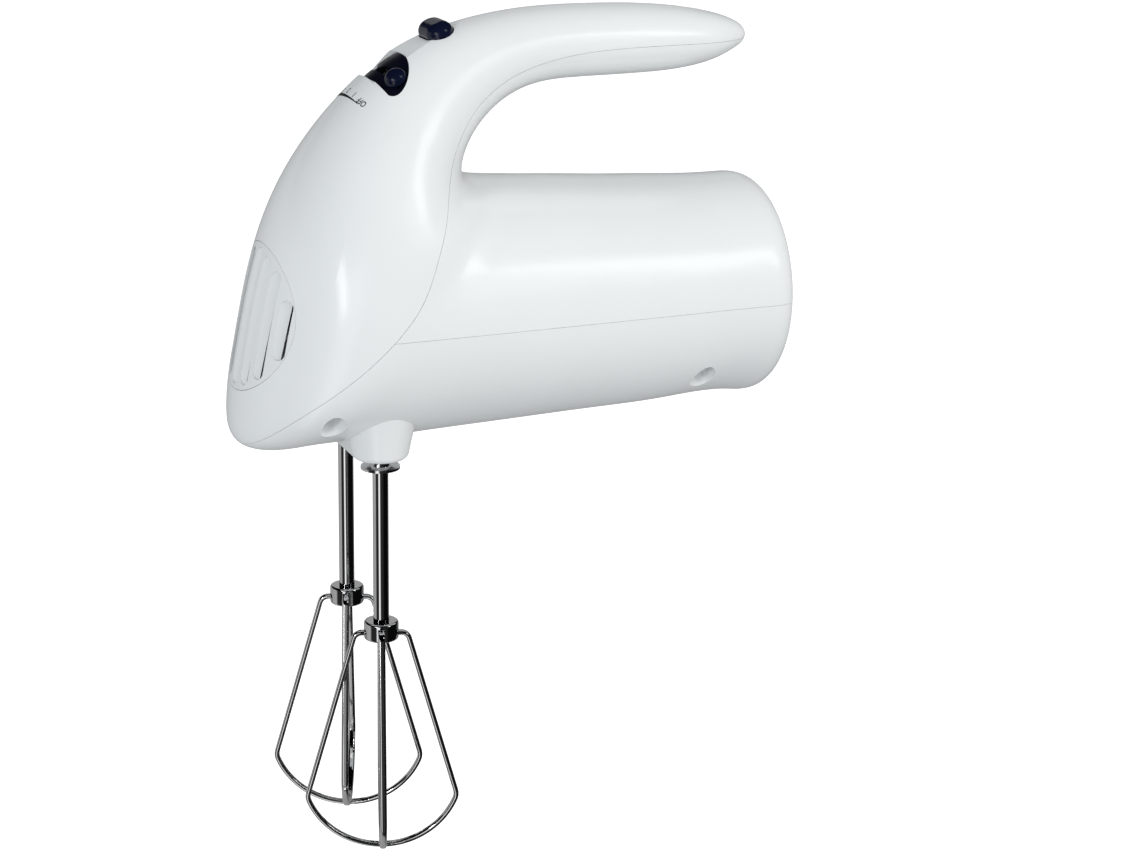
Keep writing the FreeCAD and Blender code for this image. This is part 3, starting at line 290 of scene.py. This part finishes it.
def round_the_crown(piece, degrees, drop):
    """Print a figure at an angle about the selector's axis, drop below it."""
    angle = math.radians(degrees)
    out = PANEL_OUT * math.cos(angle) + Vector((0, 1, 0)) * math.sin(angle)
    across = Vector((0, 1, 0)) * math.cos(angle) - PANEL_OUT * math.sin(angle)
    # The figures stand with their heads towards the nose.
    origin = AXIS_FOOT + out * CROWN_RADIUS - PANEL_UP * drop
    fine_mesh(piece, PRINT_EDGE)
    print_on(piece, hood, across, -PANEL_UP, origin)
    piece.data.materials.append(PRINT)
    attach(piece, "housing")


# Word, angle in degrees about the selector's axis, millimetres below that axis' foot.
MARKS = (
    ("OFF", -24.4, 13.5),
    ("1", -10.5, 13.1),
    ("2", 3.0, 12.9),
    ("3", 16.5, 13.1),
    ("4", 30.0, 13.5),
)
for words, degrees, drop in MARKS:
    mark = flat_text(f"scale_{words.lower()}", words, LETTER_HEIGHT)
    round_the_crown(mark, degrees, drop * MM)

# The wedge under the figures grows from OFF towards the highest speed.
WEDGE_FROM = -19.5
WEDGE_TO = 36.0
WEDGE_STEPS = 24
WEDGE_DROP = 14.8 * MM
wedge_middle = (WEDGE_FROM + WEDGE_TO) / 2
upper_edge = []
lower_edge = []
for step in range(WEDGE_STEPS + 1):
    share = step / WEDGE_STEPS
    angle = math.radians(WEDGE_FROM + (WEDGE_TO - WEDGE_FROM) * share - wedge_middle)
    along = CROWN_RADIUS * math.sin(angle)
    upper_edge.append((along, (0.1 + 1.2 * share) * MM))
    lower_edge.append((along, (-0.1 - 0.5 * share) * MM))
wedge = flat_figure("scale_wedge", upper_edge + lower_edge[::-1])
round_the_crown(wedge, wedge_middle, WEDGE_DROP)


# ------------------------------------------------------------------ set


def area_light(name, place, target, size, power, colour):
    """A soft light that doesn't show in reflections."""
    lamp = bpy.data.lights.new(name, "AREA")
    lamp.shape = "RECTANGLE"
    lamp.size, lamp.size_y = size
    lamp.energy = power
    lamp.color = colour
    holder = bpy.data.objects.new(name, lamp)
    holder.visible_glossy = False
    scene.collection.objects.link(holder)
    holder.location = place
    holder.rotation_euler = (Vector(target) - Vector(place)).to_track_quat("-Z", "Y").to_euler()


def set_material(name, colour, roughness, glow):
    """A matt surface of the studio, which can glow."""
    material, _, shader = new_material(name)
    shader.inputs["Base Color"].default_value = (*colour, 1)
    shader.inputs["Roughness"].default_value = roughness
    shader.inputs["Specular IOR Level"].default_value = 0.0
    shader.inputs["Emission Color"].default_value = (1, 1, 1, 1)
    shader.inputs["Emission Strength"].default_value = glow
    return material


FLOOR_LEVEL = -0.345  # low enough for a beater that is pulled out
bpy.ops.mesh.primitive_plane_add(size=30.0, location=(0, 0, FLOOR_LEVEL))
floor = bpy.context.object
floor.name = "floor"
floor.data.materials.append(set_material("pale_floor", (0.90, 0.90, 0.90), 0.8, 0.62))
floor.visible_diffuse = False
floor.visible_glossy = False

world = bpy.data.worlds.new("studio")
scene.world = world
world.use_nodes = True
background = world.node_tree.nodes["Background"]
background.inputs["Color"].default_value = (0.95, 0.975, 1.0, 1)
background.inputs["Strength"].default_value = 0.62
world.cycles_visibility.glossy = False

area_light("left", (-1.34, -1.05, 0.17), (-0.107, -0.037, -0.07), (0.20, 0.34), 7.0, (0.93, 0.97, 1.0))
area_light("right", (0.88, -1.335, 0.75), (-0.07, -0.026, -0.02), (1.1, 0.8), 14.0, (1.0, 0.995, 0.98))


def only_reflected(thing):
    """Part of the studio that shows only in reflections."""
    thing.visible_camera = False
    thing.visible_diffuse = False
    thing.visible_shadow = False


def direction(azimuth, elevation):
    """A unit vector.  The azimuth runs from -Y towards +X, in degrees."""
    a = math.radians(azimuth)
    e = math.radians(elevation)
    return Vector((math.sin(a) * math.cos(e), -math.cos(a) * math.cos(e), math.sin(e)))


CARD_CENTRE = Vector((-0.09, -0.03, -0.05))
BEATER_AXIS = (-0.088, -0.019, 0)
TENT_RADIUS = 2.2
TENT_LOW = -2.0
TENT_HIGH = 0.45
TENT_STEPS = 72

# Azimuth in degrees from -Y towards +X, brightness of the tent there.
TENT_LEVELS = (
    (-90.0, 0.12),
    (-84.0, 0.02),
    (-52.0, 0.02),
    (-44.0, 0.90),
    (-33.0, 1.20),
    (-27.0, 0.45),
    (-21.0, 0.03),
    (20.0, 0.015),
    (28.0, 0.003),
    (98.0, 0.003),
    (112.0, 0.10),
    (160.0, 0.30),
    (264.0, 0.40),
    (270.0, 0.12),
)


def soft_card(name, corners, distance, glow):
    """A bright card seen from the mixer between the given azimuths and elevations."""
    places = [CARD_CENTRE + distance * direction(*corner) for corner in corners]
    mesh = bpy.data.meshes.new(name)
    mesh.from_pydata(places, [], [tuple(range(len(places)))])
    mesh.materials.append(set_material(name, (0, 0, 0), 0.9, glow))
    card = bpy.data.objects.new(name, mesh)
    scene.collection.objects.link(card)
    only_reflected(card)


def tent_material():
    """Glows by azimuth, about the tent's own upright axis, as TENT_LEVELS says."""
    material, tree, shader = new_material("dark_tent")
    shader.inputs["Base Color"].default_value = (0, 0, 0, 1)
    shader.inputs["Specular IOR Level"].default_value = 0.0
    turn = tree.nodes.new("ShaderNodeTexGradient")
    turn.gradient_type = "RADIAL"
    tree.links.new(coordinates(tree, (1, 1, 1)), turn.inputs["Vector"])
    ramp = tree.nodes.new("ShaderNodeValToRGB")
    elements = ramp.color_ramp.elements
    # The gradient is 0.25 at azimuth 0 and gains 1 in a full turn.
    stops = [(azimuth / 360 + 0.25, level) for azimuth, level in TENT_LEVELS]
    for place, level in stops[1:-1]:
        elements.new(place).color = (level, level, level, 1)
    for element, (_, level) in ((elements[0], stops[0]), (elements[len(stops) - 1], stops[-1])):
        element.color = (level, level, level, 1)
    tree.links.new(turn.outputs["Fac"], ramp.inputs["Fac"])
    tree.links.new(ramp.outputs["Color"], shader.inputs["Emission Color"])
    shader.inputs["Emission Strength"].default_value = 1.0
    return material


def dark_tent():
    """The dark studio round the chrome, with one bright strip and a grey rear half."""
    steps = TENT_STEPS
    around = [direction(360 * i / steps, 0) * TENT_RADIUS for i in range(steps)]
    places = [(v.x, v.y, z) for z in (TENT_LOW, TENT_HIGH) for v in around]
    sides = [(i, (i + 1) % steps, (i + 1) % steps + steps, i + steps) for i in range(steps)]
    mesh = bpy.data.meshes.new("dark_tent")
    mesh.from_pydata(places, [], sides + [tuple(range(steps))])
    mesh.materials.append(tent_material())
    tent = bpy.data.objects.new("dark_tent", mesh)
    tent.location = BEATER_AXIS
    scene.collection.objects.link(tent)
    only_reflected(tent)


dark_tent()
soft_card("card_left", ((-63, 15), (-57, 15), (-42, 1), (-48, 1)), 1.6, 8.0)
soft_card("card_right", ((29, 36), (42, 36), (52, 18), (39, 18)), 1.6, 2.6)
soft_card("card_back", ((145, 9), (178, 9), (178, 27), (145, 27)), 1.9, 0.35)

scene.view_settings.view_transform = "Standard"
scene.view_settings.look = "None"
scene.view_settings.exposure = 0.0

# ------------------------------------------------------------------ camera

EYE = Vector((-0.36397, -0.83857, 0.13534))
AIM = Vector((-0.01061, 0.0, -0.13750))
ROLL = Euler((0, 0, math.radians(0.89))).to_matrix().to_4x4()

camera_data = bpy.data.cameras.new("camera")
camera_data.lens = 84.45
camera_data.sensor_width = 36.0
camera_data.dof.use_dof = False
camera = bpy.data.objects.new("camera", camera_data)
scene.collection.objects.link(camera)
look = (AIM - EYE).to_track_quat("-Z", "Y").to_matrix().to_4x4()
camera.matrix_world = Matrix.Translation(EYE) @ look @ ROLL
scene.camera = camera
